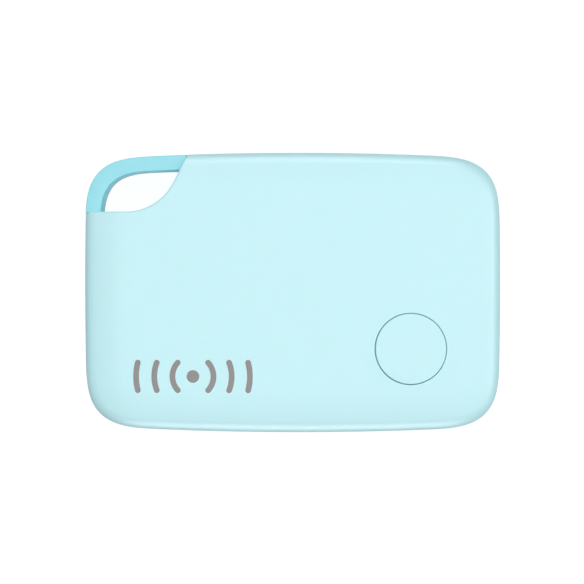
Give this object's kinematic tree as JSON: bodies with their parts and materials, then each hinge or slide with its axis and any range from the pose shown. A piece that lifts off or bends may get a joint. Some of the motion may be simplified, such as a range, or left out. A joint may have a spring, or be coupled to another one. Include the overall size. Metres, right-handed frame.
{
  "type": "bluetooth tracker tag",
  "caption": "Flat rounded tracker tag with a find button, a keyring loop across one corner and a lift-off rear cover over a coin cell.",
  "frame": {"origin": "middle of the tag in plan, on the flat of its rear face, where it rests", "axes": "+Z out of the front face with the button, +X towards the end with the button, +Y towards the side that the keyring loop's eye is near"},
  "size_m": [0.053, 0.0358, 0.006],
  "materials": {
    "shell": "pale aqua moulded plastic, satin, fine spark texture",
    "frame": "deeper turquoise moulded plastic, satin",
    "button": "pale aqua moulded plastic, satin",
    "silicone": "grey silicone",
    "board": "green solder mask over glass laminate",
    "chip_resin": "black moulded epoxy",
    "metal_can": "lapped nickel-plated lid",
    "ceramic_white": "fired ceramic",
    "capacitor_body": "tan fired ceramic with tinned ends",
    "ferrite": "dark grey ferrite with tinned ends",
    "spring_bronze": "gold-washed spring bronze",
    "plunger_white": "ivory nylon",
    "nickel_steel": "nickel-plated spring steel",
    "cell_steel": "nickel-plated steel, turned lustre",
    "black_polymer": "black polypropylene",
    "lithium": "dull soft metal",
    "manganese": "pressed black powder",
    "paper_white": "white film",
    "brass": "rolled brass sheet",
    "screw_steel": "zinc-plated steel",
    "foam": "dark open-cell foam"
  },
  "bodies": {
    "housing": {"front_cover": "shell", "mid_frame": "frame", "circuit_board": "board", "bluetooth_chip": "chip_resin", "main_crystal": "metal_can", "sleep_crystal": "metal_can", "chip_antenna": "ceramic_white", "capacitors": "capacitor_body", "resistors": "chip_resin", "inductors": "ferrite", "switch_base": "chip_resin", "switch_dome": "spring_bronze", "switch_plate": "nickel_steel", "negative_contact": "nickel_steel", "positive_contact": "nickel_steel", "buzzer_plate": "brass", "buzzer_ceramic": "ceramic_white", "buzzer_tape": "paper_white", "buzzer_springs": "spring_bronze", "board_screws": "screw_steel"},
    "button": {"button_cap": "button", "button_pad": "silicone"},
    "plunger": {"switch_plunger": "plunger_white"},
    "rear_shell": {"rear_cover": "shell", "cell_foam": "foam", "seal_ring": "silicone"},
    "coin_cell": {"cell_can": "cell_steel", "cell_cap": "cell_steel", "cell_gasket": "black_polymer", "cell_anode": "lithium", "cell_cathode": "manganese", "cell_separator": "paper_white"}
  },
  "joints": [
    {"name": "button_press", "type": "slide", "parent": "housing", "child": "button", "axis": [0, 0, -1], "range_m": [0, 0.00025], "stiffness_N_per_m": 4000},
    {"name": "plunger_press", "type": "slide", "parent": "housing", "child": "plunger", "axis": [0, 0, -1], "range_m": [0, 0.00025]},
    {"name": "housing_lift", "type": "slide", "parent": "rear_shell", "child": "housing", "axis": [0, 0, 1], "range_m": [0, 0.018]},
    {"name": "cell_lift", "type": "slide", "parent": "rear_shell", "child": "coin_cell", "axis": [0, 0, 1], "range_m": [0, 0.009]}
  ],
  "couplings": [
    {"joint": "plunger_press", "follows": "button_press", "ratio": 1},
    {"joint": "cell_lift", "follows": "housing_lift", "ratio": 0.5}
  ]
}
